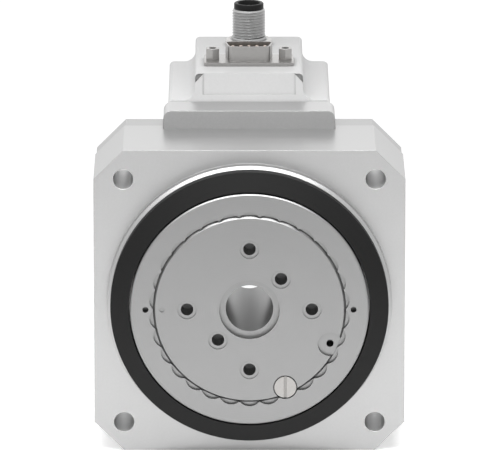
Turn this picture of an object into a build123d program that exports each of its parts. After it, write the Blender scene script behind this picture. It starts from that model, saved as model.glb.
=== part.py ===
from build123d import *
from math import acos, cos, pi, radians, sin, sqrt, tan
import os

# Rotary actuator. The output turns about Y. X is to the right, Y runs back, Z is up.
# The origin is where the output axis meets the front face of the housing.
# Names that start with y_ are places along Y, measured from that face.

os.makedirs("parts", exist_ok=True)

# Shared fits
near = 0.001            # two places closer than this count as one
run_gap = 0.05          # radial clearance of a running fit
slip_gap = 0.15         # radial clearance of parts that are bolted or slid together
free_gap = 0.4          # space between faces that turn past each other
clear = 1.0             # how far a cut runs past the face it opens, and a form into what carries it
thread_end = 1.0        # a threaded hole goes this much deeper than its screw

# Housing
face_size = 105.0       # across the flats of the square face
corner_cut = 10.0       # leg of the cut corner
body_depth = 34.5
mount_edge = 10.0       # from the edge of the face to the corner holes
mount_hole_d = 6.9
mount_hole_chamfer = 0.5
collar_r = 48.0         # raised round collar on the front face
collar_rise = 4.2
collar_chamfer = 1.0
seat_lip = 3.0          # shoulder behind the main bearing
pinion_room = 2.7       # round the pitch circle of the pinion

# Rear cover
cover_depth = 11.0
cover_inset = 0.4       # the cover is this much smaller all round
cover_screw_edge = 6.5  # from the edge of the face to the row of cover screws
cover_screw_side = 20.0 # from the middle, along each side
cover_screw_bite = 12.0 # depth of its thread in the housing
spigot_len = 3.0
boss_wall = 3.0         # round the rear bearing
boss_lip = 3.0          # shoulder behind the rear bearing

# Screws, by thread size
m3_core_d = 2.5
m3_hole_d = 3.4
m3_head_d = 5.5
m3_head_h = 3.0
m3_hex = 2.5
m4_core_d = 3.3
m4_hole_d = 4.5
m4_head_d = 7.0
m4_head_h = 4.0
m4_hex = 3.0
head_room = 0.3         # a head sits this much below the face
head_gap = 0.25         # space round a sunk head
hex_depth = 0.5         # depth of the hexagon socket as a share of the head height

# Main bearing, 60 x 78 x 10
main_bore_r = 30.0
main_outer_r = 39.0
main_width = 10.0
main_ball_r = 2.5
main_ball_count = 20
main_race_wall = 2.6
y_main = 0.5            # front face of the main bearing

# Rear bearing, 30 x 42 x 7
rear_bore_r = 15.0
rear_outer_r = 21.0
rear_width = 7.0
rear_ball_r = 1.75
rear_ball_count = 14
rear_race_wall = 1.7
y_rear_bearing = 21.0

# Bearing details
groove_gap = 0.15       # the groove is this much larger than the ball
pocket_gap = 0.1        # the cage pocket is this much larger than the ball
cage_thick = 1.2
cage_share = 0.62       # width of the cage as a share of the bearing width

# Retaining rings
housing_clip_thick = 2.5
housing_clip_depth = 1.6    # how far it sits in the groove
housing_clip_inner_r = 36.2
clip_opening = 16.0         # degrees left open at the gap
shaft_clip_thick = 0.8
shaft_clip_outer_r = 17.0
shaft_clip_depth = 0.7

# Rotary plate
plate_r = 32.4
plate_chamfer = 0.7
y_plate = -11.0         # front face of the plate and of the index ring
flange_r = 35.8
y_flange = -4.8         # where the index ring rests
y_flange_back = -1.0
race_step_r = 32.4
hub_end_gap = 0.3
bore_r = 8.0            # centre bore, open from the plate to the rear face
bore_mouth_r = 10.2     # step at the front of the bore
bore_mouth_depth = 2.0
port_core_d = 4.2       # M5 threads in the plate
port_depth = 9.0
port_recess_d = 6.5
port_recess_depth = 0.5
port_pcd = 42.0
port_count = 4
port_pcd_inner = 30.0
port_inner_angle = 45.0
mark_d = 1.7            # small reference mark
mark_depth = 0.4
mark_r = 29.5
y_shaft_end = 29.3      # end of the bearing seat
tail_r = 9.8            # thin rear end of the shaft, round the bore
rear_hole_depth = 1.0   # the boss stays open this far behind the bearing seat

# Index ring and its lock
index_outer_r = 40.1
index_chamfer = 0.4
index_steps = 30
ring_top = 90.0         # angle of the first scallop, straight up
scallop_r = 4.1
scallop_pitch_r = 29.7
scallop_depth = 1.3     # scallops and lock pockets are this deep
spanner_d = 2.0
spanner_depth = 3.0
spanner_pitch_r = 35.0
lock_angle = -66.0      # pocket that lines up with a scallop
spare_angle = -24.0     # pocket that lines up half a step away
plug_r = 3.7
plug_slot = 0.9
plug_slot_depth = 0.6
plug_shank = 5.5

# Black cover ring
cover_ring_outer_r = 46.9
cover_ring_inner_r = 40.6
cover_ring_rim = 3.5    # height of the rim at the outer edge
cover_ring_lip = 0.2    # flat inner edge
cover_ring_drop = 0.5   # how far the inner lip stays behind the index ring

# Gear pair
module = 0.8
gear_teeth = 64
pinion_teeth = 20
gear_backlash = 0.12    # taken off each tooth at the pitch circle
pressure_angle = 20.0
addendum_share = 0.95
dedendum_share = 1.3
flank_points = 5
gear_width = 8.0
clamp_thick = 2.0
clamp_outer_r = 32.6
gear_screw_r = 21.0     # M2.5 screws, inside the root circle of the gear
gear_screw_count = 6
gear_screw_core_d = 2.05
gear_screw_hole_d = 2.7
gear_head_d = 4.4
gear_head_h = 2.5
gear_screw_hex = 2.0
gear_screw_bite = 6.0
pinion_hub_r = 6.4
pinion_hub_len = 7.0
set_screw_len = 3.1
set_screw_d = 3.0
set_screw_hex = 1.5
set_screw_hex_depth = 1.2

# Motor plate
motor_plate_w = 58.4
motor_plate_up = 25.2   # from the motor axis to the top of the plate
motor_plate_down = 22.65
motor_plate_t = 13.2
motor_plate_corner = 2.8
y_motor_plate = 29.8
motor_plate_gap = 0.1
motor_plate_hole_r = 9.6
plate_screw_x = 24.0
plate_screw_low = 1.0   # both above the motor axis
plate_screw_high = 16.0
plate_screw_bite = 9.0  # depth of its thread in the housing

# Motor
motor_w = 42.3
motor_corner = 4.0
bell_len = 8.0
stator_len = 30.0
stator_bore_r = 13.2
stator_yoke_r = 18.6
pole_count = 8
pole_w = 3.6
pole_shoe_angle = 32.0
pole_shoe_t = 1.3
coil_gap = 0.15
coil_shoe_gap = 0.25    # between the coil and the pole shoe
coil_yoke_room = 0.6    # keeps the square coil out of the round yoke
coil_w = 6.6
coil_end = 2.6
coil_room = 1.0         # round the coils in the bells, along the axis and inwards
rotor_r = 12.9
rotor_gap_end = 1.0
shaft_r = 3.0
shaft_front_inset = 1.0 # the shaft starts this far inside the pinion
shaft_rear_end = 0.5    # and ends this far behind the encoder disc
pilot_r = 11.0
pilot_h = 2.0
motor_screw_pitch = 31.0
motor_screw_bite = 4.5
motor_bearing_outer_r = 8.0
motor_bearing_width = 5.0
motor_ball_r = 1.2
motor_ball_count = 7
motor_race_wall = 1.45
motor_cage_thick = 0.7

# Encoder
tie_hex = 5.5           # tie rods end in a hexagon that also carries the hood
tie_bite = 3.0
encoder_disc_r = 11.0
encoder_disc_t = 1.0
encoder_hub_r = 5.0
encoder_hub_len = 3.0
encoder_disc_offset = 5.0   # from the rear bell to the disc
encoder_board_t = 1.6
encoder_board_w = 24.0
encoder_board_h = 37.0
encoder_spacer_r = 2.3
encoder_spacer_len = 8.0
encoder_spacer_z = 15.0
encoder_screw_d = 2.5
encoder_head_d = 4.5
encoder_head_h = 1.6
encoder_screw_hex = 1.5
encoder_screw_bite = 2.5
encoder_end_gap = 0.8   # from the screw heads to the hood
sensor_w = 6.0
sensor_t = 1.2
sensor_z = 7.5

# Motor hood
hood_half_w = 27.7
hood_wall = 1.2
hood_corner = 1.6
hood_room_top = 2.65    # between the motor and the hood
hood_room_bottom = 0.25
tower_half_w = 18.6
tower_rise = 8.8        # from the hood's shoulders to the tower's top
tower_corner = 1.5
tower_fillet = 3.9
tower_front = 5.5       # from the motor plate to the top edge of the tower's front
tower_front_foot = 2.2  # and to the foot of that front
tower_foot_drop = 0.6   # the sloping front starts this far below the shoulders
hood_rear_wall = 2.0
window_cut = 2.75       # leg of the corner that is left open in the tower's front
window_depth = 3.0
window_wall = 0.2
panel_w = 31.6          # shallow flat panel below the D-Sub connector
panel_depth = 0.25
panel_foot_rise = 1.9   # the panel starts this far above the shoulders
hood_screw_bite = 6.0
hood_head_h = 1.8
hood_screw_hex = 2.0

# D-Sub connector with nine ways, points up
dsub_from_plate = 22.0  # from the motor plate to the centre of the connector
dsub_flange_w = 30.8
dsub_flange_d = 12.5
dsub_flange_t = 1.2
dsub_flange_corner = 1.0
dsub_screw_pitch = 25.0
dsub_shell_w = 16.9     # wide side, towards the back
dsub_shell_d = 8.3
dsub_shell_taper = 10.0
dsub_shell_corner = 2.0
dsub_shell_h = 5.2
dsub_shell_wall = 0.5
dsub_floor = 1.0
dsub_body_lift = 1.0    # from the board to the insulator
dsub_pin_r = 0.5
dsub_pin_drop = 0.9     # the pins end this far below the rim
dsub_pitch = 2.77
dsub_row = 2.84
dsub_long_row = 5
dsub_short_row = 4
jack_hex = 4.4
jack_h = 3.8
jack_hole_d = 2.5
jack_hole_depth = 3.2
jack_shank_len = 5.0
jack_shank_d = 3.0

# M12 connector, points up
m12_from_end = 11.5     # from the rear end of the hood
m12_base_r = 8.1
m12_base_h = 2.0
m12_base_edge = 0.5
m12_collar_h = 1.1
m12_thread_r = 5.5
m12_thread_h = 10.2
m12_inner_r = 4.4
m12_rim_r = 5.0
m12_rim_h = 2.4
m12_rim_inner_r = 3.7
m12_floor = 7.0         # depth from the rim to the floor
m12_tail = 4.4          # thread below the top of the tower
m12_tail_r = 6.4
m12_nut_w = 15.0
m12_nut_h = 2.4
m12_pin_r = 0.5
m12_pin_h = 5.5
m12_pin_pitch_r = 2.3
m12_pin_count = 4
m12_first_pin = 45.0
m12_key_w = 0.8
m12_key_t = 0.5
m12_key_drop = 0.5      # the key ends this far below the rim

# Connector board
board_w = 33.0
board_t = 1.6
board_front_gap = 3.0   # behind the tower's front edge
board_end_gap = 3.5     # before the hood's rear wall
board_drop = 5.3        # from the inside of the tower's top to the board
board_post_x = 13.6
board_post_r = 2.4
board_post_inset = 4.0
board_screw_d = 1.6
board_screw_len = 4.0   # depth of the hole in the post
board_screw_end = 0.5   # the screw ends this far before its hole
board_head_d = 3.4
board_head_h = 1.4
chip_w = 9.0
chip_t = 1.6
chip_from_front = 30.5  # from the board's front edge
jack_nut_w = 5.0
jack_nut_h = 2.0
dsub_body_w = 18.8
dsub_body_d = 10.6


# Worked out from the sizes above
half_face = face_size / 2
half_pitch = half_face - mount_edge
cover_screw_row = half_face - cover_screw_edge
y_cover = body_depth
y_rear = body_depth + cover_depth
y_main_back = y_main + main_width
gear_r = module * gear_teeth / 2
pinion_r = module * pinion_teeth / 2
motor_z = gear_r + pinion_r
y_clamp = y_main_back
y_gear = y_clamp + clamp_thick
y_gear_back = y_gear + gear_width
cavity_r = main_outer_r - seat_lip
pinion_pocket_r = pinion_r + pinion_room
cavity_front = y_gear - free_gap
motor_plate_bottom = motor_z - motor_plate_down
y_motor = y_motor_plate + motor_plate_t
y_stator = y_motor + bell_len
y_rear_bell = y_stator + stator_len
y_motor_end = y_rear_bell + bell_len
y_hood_inside = y_motor_end + encoder_spacer_len + encoder_board_t + encoder_head_h + encoder_end_gap
y_hood_end = y_hood_inside + hood_rear_wall
y_tower = y_motor + tower_front
y_tower_foot = y_motor + tower_front_foot
hood_top = motor_z + motor_w / 2 + hood_room_top + hood_wall
hood_bottom = motor_z - motor_w / 2 - hood_room_bottom - hood_wall
tower_top = hood_top + tower_rise
tower_foot = hood_top - tower_foot_drop
panel_foot = hood_top + panel_foot_rise
y_board = y_tower + board_front_gap
y_board_end = y_hood_inside - board_end_gap
board_l = y_board_end - y_board
chip_y = y_board + chip_from_front
dsub_y = y_motor + dsub_from_plate
m12_y = y_hood_end - m12_from_end
boss_r = rear_outer_r + boss_wall
y_boss = y_rear_bearing
boss_hole_r = rear_outer_r - boss_lip


def front_plane(y):
    """Plane across the output axis at y. Its x is X and its y is Z."""
    return Plane(origin=(0, y, 0), x_dir=(1, 0, 0), z_dir=(0, -1, 0))


def motor_plane(y):
    """The same kind of plane, centred on the motor axis."""
    return Plane(origin=(0, y, motor_z), x_dir=(1, 0, 0), z_dir=(0, -1, 0))


def up_plane(y, z):
    """Plane that looks up, centred on X = 0 at the given y and z."""
    return Plane(origin=(0, y, z), x_dir=(1, 0, 0), z_dir=(0, 0, 1))


def turned(r_in, r_out, y_from, y_to):
    """One rectangle of a turned section, drawn on Plane.XY with the radius along X."""
    with Locations(((r_in + r_out) / 2, (y_from + y_to) / 2)):
        Rectangle(r_out - r_in, y_to - y_from)


def octagon(half, cut):
    """Square outline with its corners cut off."""
    long = half - cut
    Polygon(
        (half, -long), (half, long), (long, half), (-long, half),
        (-half, long), (-half, -long), (-long, -half), (long, -half), align=None)


def involute(base, radius):
    """Polar angle of the involute at a radius, in radians."""
    roll = sqrt(max((radius / base) ** 2 - 1, 0))
    return roll - acos(min(base / radius, 1))


def tooth_outline(teeth, pitch_r, first_angle):
    """Points of a spur gear outline. A tooth points along first_angle, in degrees."""
    base = pitch_r * cos(radians(pressure_angle))
    tip = pitch_r + module * addendum_share
    root = pitch_r - module * dedendum_share
    start = max(base, root)
    half_at_pitch = pi / (2 * teeth) - gear_backlash / (2 * pitch_r)
    rim = involute(base, pitch_r)
    points = []
    for tooth in range(teeth):
        middle = radians(first_angle) + 2 * pi * tooth / teeth
        radii = [start + (tip - start) * step / (flank_points - 1) for step in range(flank_points)]
        flank = [(radius, half_at_pitch + rim - involute(base, radius)) for radius in radii]
        points.append((root, middle - flank[0][1]))
        for radius, half in flank:
            points.append((radius, middle - half))
        for radius, half in reversed(flank):
            points.append((radius, middle + half))
        points.append((root, middle + flank[0][1]))
    outline = []
    for radius, angle in points:
        point = (radius * cos(angle), radius * sin(angle))
        if not outline or abs(point[0] - outline[-1][0]) + abs(point[1] - outline[-1][1]) > near:
            outline.append(point)
    return outline


# Positions used more than once, as (X, Z)
corner_spots = [(sx * half_pitch, sz * half_pitch) for sx in (-1, 1) for sz in (-1, 1)]
cover_screw_spots = [
    (-cover_screw_row, cover_screw_side), (cover_screw_row, cover_screw_side),
    (-cover_screw_row, -cover_screw_side), (cover_screw_row, -cover_screw_side),
    (-cover_screw_side, -cover_screw_row), (cover_screw_side, -cover_screw_row)]
plate_screw_spots = [
    (sx * plate_screw_x, sz) for sx in (-1, 1) for sz in (plate_screw_low, plate_screw_high)]
motor_screw_spots = [
    (sx * motor_screw_pitch / 2, sz * motor_screw_pitch / 2) for sx in (-1, 1) for sz in (-1, 1)]


# Housing body: square block with cut corners, round collar, bearing seat and gear cavity
with BuildPart() as housing_body:
    with BuildSketch(front_plane(0)):
        octagon(half_face, corner_cut)
    extrude(amount=-body_depth)
    with BuildSketch(Plane.XY):
        turned(0, collar_r, -collar_rise, clear)
    revolve(axis=Axis.Y)
    chamfer(housing_body.faces().sort_by(Axis.Y)[0].edges(), length=collar_chamfer)
    # Bearing seat, groove for the retaining ring and gear cavity
    with BuildSketch(Plane.XY):
        turned(0, main_outer_r, -collar_rise, y_main_back)
        turned(0, main_outer_r + housing_clip_depth, y_main - housing_clip_thick, y_main)
        turned(0, cavity_r, y_main_back, body_depth)
    revolve(axis=Axis.Y, mode=Mode.SUBTRACT)
    with BuildSketch(motor_plane(cavity_front)):
        Circle(pinion_pocket_r)
    extrude(amount=-(body_depth - cavity_front), mode=Mode.SUBTRACT)
    # Slot for the motor plate, open at the top and at the back
    with BuildSketch(front_plane(y_motor_plate)):
        with Locations((0, motor_plate_bottom - motor_plate_gap)):
            Rectangle(motor_plate_w + 2 * motor_plate_gap, face_size, align=(Align.CENTER, Align.MIN))
    extrude(amount=-body_depth, mode=Mode.SUBTRACT)
    # Holes
    with BuildSketch(front_plane(0)):
        with Locations(*corner_spots):
            Circle(mount_hole_d / 2)
    extrude(amount=-body_depth, mode=Mode.SUBTRACT)
    for spot_x, spot_z in corner_spots:
        with Locations(Plane(origin=(spot_x, 0, spot_z), z_dir=(0, -1, 0))):
            Cone(mount_hole_d / 2 - mount_hole_chamfer, mount_hole_d / 2 + mount_hole_chamfer,
                 2 * mount_hole_chamfer, mode=Mode.SUBTRACT)
    with BuildSketch(front_plane(body_depth)):
        with Locations(*cover_screw_spots):
            Circle(m4_core_d / 2)
    extrude(amount=cover_screw_bite, mode=Mode.SUBTRACT)
    with BuildSketch(motor_plane(y_motor_plate)):
        with Locations(*plate_screw_spots):
            Circle(m3_core_d / 2)
    extrude(amount=plate_screw_bite, mode=Mode.SUBTRACT)
housing_body.part.label = "housing_body"


# Rear cover: plate with a spigot and the boss that holds the rear bearing
with BuildPart() as rear_cover:
    with BuildSketch(front_plane(y_cover)):
        octagon(half_face - cover_inset, corner_cut)
    extrude(amount=-cover_depth)
    with BuildSketch(Plane.XY):
        turned(0, cavity_r - slip_gap, y_cover - spigot_len, y_cover + clear)
        turned(0, boss_r, y_boss, y_cover + clear)
    revolve(axis=Axis.Y)
    with BuildSketch(Plane.XY):
        turned(0, rear_outer_r, y_boss, y_rear_bearing + rear_width)
        turned(0, boss_hole_r, y_boss, y_shaft_end + rear_hole_depth)
        turned(0, tail_r + free_gap, y_boss, y_rear)
    revolve(axis=Axis.Y, mode=Mode.SUBTRACT)
    # Room for the pinion, the motor plate and the motor
    with BuildSketch(motor_plane(y_boss)):
        Circle(pinion_pocket_r)
    extrude(amount=-(y_cover - y_boss), mode=Mode.SUBTRACT)
    with BuildSketch(front_plane(y_motor_plate)):
        with Locations((0, motor_plate_bottom - motor_plate_gap)):
            Rectangle(motor_plate_w + 2 * motor_plate_gap, face_size, align=(Align.CENTER, Align.MIN))
    extrude(amount=-(y_rear - y_motor_plate), mode=Mode.SUBTRACT)
    # Holes
    with BuildSketch(front_plane(y_cover)):
        with Locations(*corner_spots):
            Circle(mount_hole_d / 2)
        with Locations(*cover_screw_spots):
            Circle(m4_hole_d / 2)
    extrude(amount=-cover_depth, mode=Mode.SUBTRACT)
    with BuildSketch(front_plane(y_rear)):
        with Locations(*cover_screw_spots):
            Circle(m4_head_d / 2 + head_gap)
    extrude(amount=m4_head_h + head_room, mode=Mode.SUBTRACT)
rear_cover.part.label = "rear_cover"


def cap_screw_set(spots, y_head, direction, thread_d, head_d, head_h, hexagon, shank, centre_z=0):
    """Socket screws along Y. direction is 1 when the shank points to the front, else -1."""
    for spot_x, spot_z in spots:
        place = Plane(origin=(spot_x, y_head, centre_z + spot_z), x_dir=(1, 0, 0), z_dir=(0, -direction, 0))
        with Locations(place):
            Cylinder(thread_d / 2, shank, align=(Align.CENTER, Align.CENTER, Align.MIN))
            Cylinder(head_d / 2, head_h, align=(Align.CENTER, Align.CENTER, Align.MAX))
        with BuildSketch(place.offset(-head_h)) as socket:
            RegularPolygon(hexagon / 2, 6, major_radius=False)
        extrude(socket.sketch, amount=head_h * hex_depth, mode=Mode.SUBTRACT)


# Screws that hold the rear cover
with BuildPart() as cover_screws:
    cap_screw_set(
        cover_screw_spots, y_rear - head_room - m4_head_h, 1,
        m4_core_d, m4_head_d, m4_head_h, m4_hex,
        cover_depth - head_room - m4_head_h + cover_screw_bite - thread_end)
cover_screws.part.label = "cover_screws"


# Black cover ring round the index ring: flat rim, then a cone that rises to the inner edge
with BuildPart() as cover_ring:
    with BuildSketch(Plane.XY):
        Polygon(
            (cover_ring_inner_r, -collar_rise), (cover_ring_outer_r, -collar_rise),
            (cover_ring_outer_r, -collar_rise - cover_ring_rim),
            (cover_ring_inner_r + cover_ring_lip, y_plate + cover_ring_drop),
            (cover_ring_inner_r, y_plate + cover_ring_drop), align=None)
    revolve(axis=Axis.Y)
cover_ring.part.label = "cover_ring"


# Deep groove bearings: outer ring, inner ring, balls and cage
main_pitch_r = (main_bore_r + main_outer_r) / 2
rear_pitch_r = (rear_bore_r + rear_outer_r) / 2
motor_pitch_r = (shaft_r + motor_bearing_outer_r) / 2
y_main_mid = y_main + main_width / 2
y_rear_mid = y_rear_bearing + rear_width / 2
output_turn = Axis((0, 0, 0), (0, 1, 0))
motor_turn = Axis((0, 0, motor_z), (0, 1, 0))
motor_section = Plane.XY.offset(motor_z)
y_front_motor_bearing = y_motor + bell_len - motor_bearing_width
y_rear_motor_bearing = y_rear_bell
motor_bearing_fronts = [y_front_motor_bearing, y_rear_motor_bearing]


def race(r_in, r_out, y_front, width, pitch_r, ball_r):
    """Section of one bearing ring with the groove for the balls."""
    turned(r_in, r_out, y_front, y_front + width)
    with Locations((pitch_r, y_front + width / 2)):
        Circle(ball_r + groove_gap, mode=Mode.SUBTRACT)


def balls(pitch_r, y_middle, centre_z, ball_r, count):
    """Balls of one bearing at equal steps."""
    for step in range(count):
        turn = radians(360 / count * step)
        with Locations((pitch_r * cos(turn), y_middle, centre_z + pitch_r * sin(turn))):
            Sphere(ball_r)


def cage_pockets(pitch_r, y_middle, centre_z, ball_r, count):
    """Round radial holes of a cage, one for each ball."""
    for step in range(count):
        turn = radians(360 / count * step)
        with Locations(Plane(
                origin=(pitch_r * cos(turn), y_middle, centre_z + pitch_r * sin(turn)),
                x_dir=(0, 1, 0), z_dir=(cos(turn), 0, sin(turn)))):
            Cylinder(ball_r + pocket_gap, 2 * cage_thick, mode=Mode.SUBTRACT)


with BuildPart() as main_outer_race:
    with BuildSketch(Plane.XY):
        race(main_outer_r - main_race_wall, main_outer_r, y_main, main_width, main_pitch_r, main_ball_r)
    revolve(axis=output_turn)
main_outer_race.part.label = "main_outer_race"

with BuildPart() as main_inner_race:
    with BuildSketch(Plane.XY):
        race(main_bore_r, main_bore_r + main_race_wall, y_main, main_width, main_pitch_r, main_ball_r)
    revolve(axis=output_turn)
main_inner_race.part.label = "main_inner_race"

with BuildPart() as main_balls:
    balls(main_pitch_r, y_main_mid, 0, main_ball_r, main_ball_count)
main_balls.part.label = "main_balls"

with BuildPart() as main_cage:
    with BuildSketch(Plane.XY):
        turned(
            main_pitch_r - cage_thick / 2, main_pitch_r + cage_thick / 2,
            y_main_mid - main_width * cage_share / 2, y_main_mid + main_width * cage_share / 2)
    revolve(axis=output_turn)
    cage_pockets(main_pitch_r, y_main_mid, 0, main_ball_r, main_ball_count)
main_cage.part.label = "main_cage"

with BuildPart() as rear_outer_race:
    with BuildSketch(Plane.XY):
        race(
            rear_outer_r - rear_race_wall, rear_outer_r,
            y_rear_bearing, rear_width, rear_pitch_r, rear_ball_r)
    revolve(axis=output_turn)
rear_outer_race.part.label = "rear_outer_race"

with BuildPart() as rear_inner_race:
    with BuildSketch(Plane.XY):
        race(rear_bore_r, rear_bore_r + rear_race_wall, y_rear_bearing, rear_width, rear_pitch_r, rear_ball_r)
    revolve(axis=output_turn)
rear_inner_race.part.label = "rear_inner_race"

with BuildPart() as rear_balls:
    balls(rear_pitch_r, y_rear_mid, 0, rear_ball_r, rear_ball_count)
rear_balls.part.label = "rear_balls"

with BuildPart() as rear_cage:
    with BuildSketch(Plane.XY):
        turned(
            rear_pitch_r - cage_thick / 2, rear_pitch_r + cage_thick / 2,
            y_rear_mid - rear_width * cage_share / 2, y_rear_mid + rear_width * cage_share / 2)
    revolve(axis=output_turn)
    cage_pockets(rear_pitch_r, y_rear_mid, 0, rear_ball_r, rear_ball_count)
rear_cage.part.label = "rear_cage"


# The two small bearings of the motor share one node for each kind of piece
with BuildPart() as motor_outer_races:
    for y_front in motor_bearing_fronts:
        with BuildSketch(motor_section) as section:
            race(
                motor_bearing_outer_r - motor_race_wall, motor_bearing_outer_r,
                y_front, motor_bearing_width, motor_pitch_r, motor_ball_r)
        revolve(section.sketch, axis=motor_turn)
motor_outer_races.part.label = "motor_outer_races"

with BuildPart() as motor_inner_races:
    for y_front in motor_bearing_fronts:
        with BuildSketch(motor_section) as section:
            race(
                shaft_r, shaft_r + motor_race_wall,
                y_front, motor_bearing_width, motor_pitch_r, motor_ball_r)
        revolve(section.sketch, axis=motor_turn)
motor_inner_races.part.label = "motor_inner_races"

with BuildPart() as motor_balls:
    for y_front in motor_bearing_fronts:
        balls(motor_pitch_r, y_front + motor_bearing_width / 2, motor_z, motor_ball_r, motor_ball_count)
motor_balls.part.label = "motor_balls"

with BuildPart() as motor_cages:
    for y_front in motor_bearing_fronts:
        y_middle = y_front + motor_bearing_width / 2
        half_width = motor_bearing_width * cage_share / 2
        with BuildSketch(motor_section) as section:
            turned(
                motor_pitch_r - motor_cage_thick / 2, motor_pitch_r + motor_cage_thick / 2,
                y_middle - half_width, y_middle + half_width)
        revolve(section.sketch, axis=motor_turn)
        cage_pockets(motor_pitch_r, y_middle, motor_z, motor_ball_r, motor_ball_count)
motor_cages.part.label = "motor_cages"


# Retaining rings: one in the housing groove, one on the rear end of the output shaft
def open_ring(r_in, r_out, y_front, thick, centre_angle):
    """Flat ring with a gap. centre_angle is where the gap looks."""
    with BuildSketch(front_plane(y_front)) as outline:
        Circle(r_out)
        Circle(r_in, mode=Mode.SUBTRACT)
        with Locations(Location((0, 0, 0), (0, 0, centre_angle))):
            Rectangle(
                2 * r_out, 2 * r_in * sin(radians(clip_opening / 2)),
                align=(Align.MIN, Align.CENTER), mode=Mode.SUBTRACT)
    extrude(outline.sketch, amount=-thick)


with BuildPart() as housing_clip:
    open_ring(
        housing_clip_inner_r, main_outer_r + housing_clip_depth - slip_gap,
        y_main - housing_clip_thick, housing_clip_thick, -90)
housing_clip.part.label = "housing_clip"

y_shaft_clip = y_rear_bearing + rear_width
with BuildPart() as shaft_clip:
    open_ring(
        rear_bore_r - shaft_clip_depth + run_gap, shaft_clip_outer_r,
        y_shaft_clip, shaft_clip_thick, -90)
shaft_clip.part.label = "shaft_clip"


# Rotary plate, turned in one piece with its hub and shaft
lock_spots = [
    (scallop_pitch_r * cos(radians(angle)), scallop_pitch_r * sin(radians(angle)))
    for angle in (lock_angle, spare_angle)]
with BuildPart() as rotary_plate:
    with BuildSketch(Plane.XY):
        turned(0, plate_r, y_plate, y_flange)
        turned(0, flange_r, y_flange, y_flange_back)
        turned(0, race_step_r, y_flange_back, y_main)
        turned(0, main_bore_r, y_main, y_clamp - hub_end_gap)
        turned(0, rear_bore_r, y_clamp - hub_end_gap, y_shaft_end)
        turned(0, tail_r, y_shaft_end, y_rear)
    revolve(axis=output_turn)
    front_edge = rotary_plate.faces().filter_by(Axis.Y).sort_by(Axis.Y)[0].edges()
    chamfer(front_edge, length=plate_chamfer)
    with BuildSketch(Plane.XY):
        turned(0, bore_r, y_plate, y_rear)
        turned(0, bore_mouth_r, y_plate, y_plate + bore_mouth_depth)
        turned(
            rear_bore_r - shaft_clip_depth, rear_bore_r + clear,
            y_shaft_clip, y_shaft_clip + shaft_clip_thick + run_gap)
    revolve(axis=output_turn, mode=Mode.SUBTRACT)
    # Threaded ports with a shallow recess each
    for radius, count, first in ((port_pcd / 2, port_count, 0), (port_pcd_inner / 2, 2, port_inner_angle)):
        for hole_d, depth in ((port_recess_d, port_recess_depth), (port_core_d, port_depth)):
            with BuildSketch(front_plane(y_plate)) as ports:
                with PolarLocations(radius, count, first):
                    Circle(hole_d / 2)
            extrude(ports.sketch, amount=-depth, mode=Mode.SUBTRACT)
    # Reference mark and the two pockets of the lock, each with its small thread
    with BuildSketch(front_plane(y_plate)):
        with Locations((-mark_r, 0)):
            Circle(mark_d / 2)
    extrude(amount=-mark_depth, mode=Mode.SUBTRACT)
    with BuildSketch(front_plane(y_plate)):
        with Locations(*lock_spots):
            Circle(scallop_r)
    extrude(amount=-scallop_depth, mode=Mode.SUBTRACT)
    with BuildSketch(front_plane(y_plate)):
        with Locations(*lock_spots):
            Circle(m3_core_d / 2)
    extrude(amount=-(scallop_depth + plug_shank + thread_end), mode=Mode.SUBTRACT)
    # Threads for the gear screws, from the back
    with BuildSketch(front_plane(y_clamp - hub_end_gap)):
        with PolarLocations(gear_screw_r, gear_screw_count):
            Circle(gear_screw_core_d / 2)
    extrude(amount=gear_screw_bite + thread_end, mode=Mode.SUBTRACT)
rotary_plate.part.label = "rotary_plate"


# Index ring: thirty shallow scallops round its bore, cut with the same circle as the pockets of the plate.
# At one of them ring and plate make a whole pocket, and half a step away the other pocket stays closed.
with BuildPart() as index_ring:
    with BuildSketch(front_plane(y_plate)):
        Circle(index_outer_r)
    extrude(amount=y_plate - y_flange)
    chamfer(index_ring.edges().sort_by(Axis.Y)[0], length=index_chamfer)
    with BuildSketch(front_plane(y_plate)):
        Circle(plate_r + run_gap)
    extrude(amount=y_plate - y_flange, mode=Mode.SUBTRACT)
    with BuildSketch(front_plane(y_plate)):
        with PolarLocations(scallop_pitch_r, index_steps, ring_top):
            Circle(scallop_r)
    extrude(amount=-scallop_depth, mode=Mode.SUBTRACT)
    with BuildSketch(front_plane(y_plate)):
        with PolarLocations(spanner_pitch_r, 2):
            Circle(spanner_d / 2)
    extrude(amount=-spanner_depth, mode=Mode.SUBTRACT)
index_ring.part.label = "index_ring"


# Slotted plug that locks the ring to the plate
with BuildPart() as lock_plug:
    plug_x, plug_z = lock_spots[0]
    place = Plane(origin=(plug_x, y_plate + scallop_depth, plug_z), x_dir=(1, 0, 0), z_dir=(0, 1, 0))
    with Locations(place):
        Cylinder(plug_r, scallop_depth, align=(Align.CENTER, Align.CENTER, Align.MAX))
        Cylinder(m3_core_d / 2, plug_shank, align=(Align.CENTER, Align.CENTER, Align.MIN))
    with Locations((plug_x, y_plate + plug_slot_depth / 2, plug_z)):
        Box(plug_slot, plug_slot_depth, 2 * plug_r + clear, mode=Mode.SUBTRACT)
lock_plug.part.label = "lock_plug"


# Clamp ring behind the main bearing, output gear and its screws
with BuildPart() as clamp_ring:
    with BuildSketch(Plane.XY):
        turned(rear_bore_r + run_gap, clamp_outer_r, y_clamp, y_gear)
    revolve(axis=output_turn)
    with BuildSketch(front_plane(y_clamp)):
        with PolarLocations(gear_screw_r, gear_screw_count):
            Circle(gear_screw_hole_d / 2)
    extrude(amount=-clamp_thick, mode=Mode.SUBTRACT)
clamp_ring.part.label = "clamp_ring"

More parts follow.
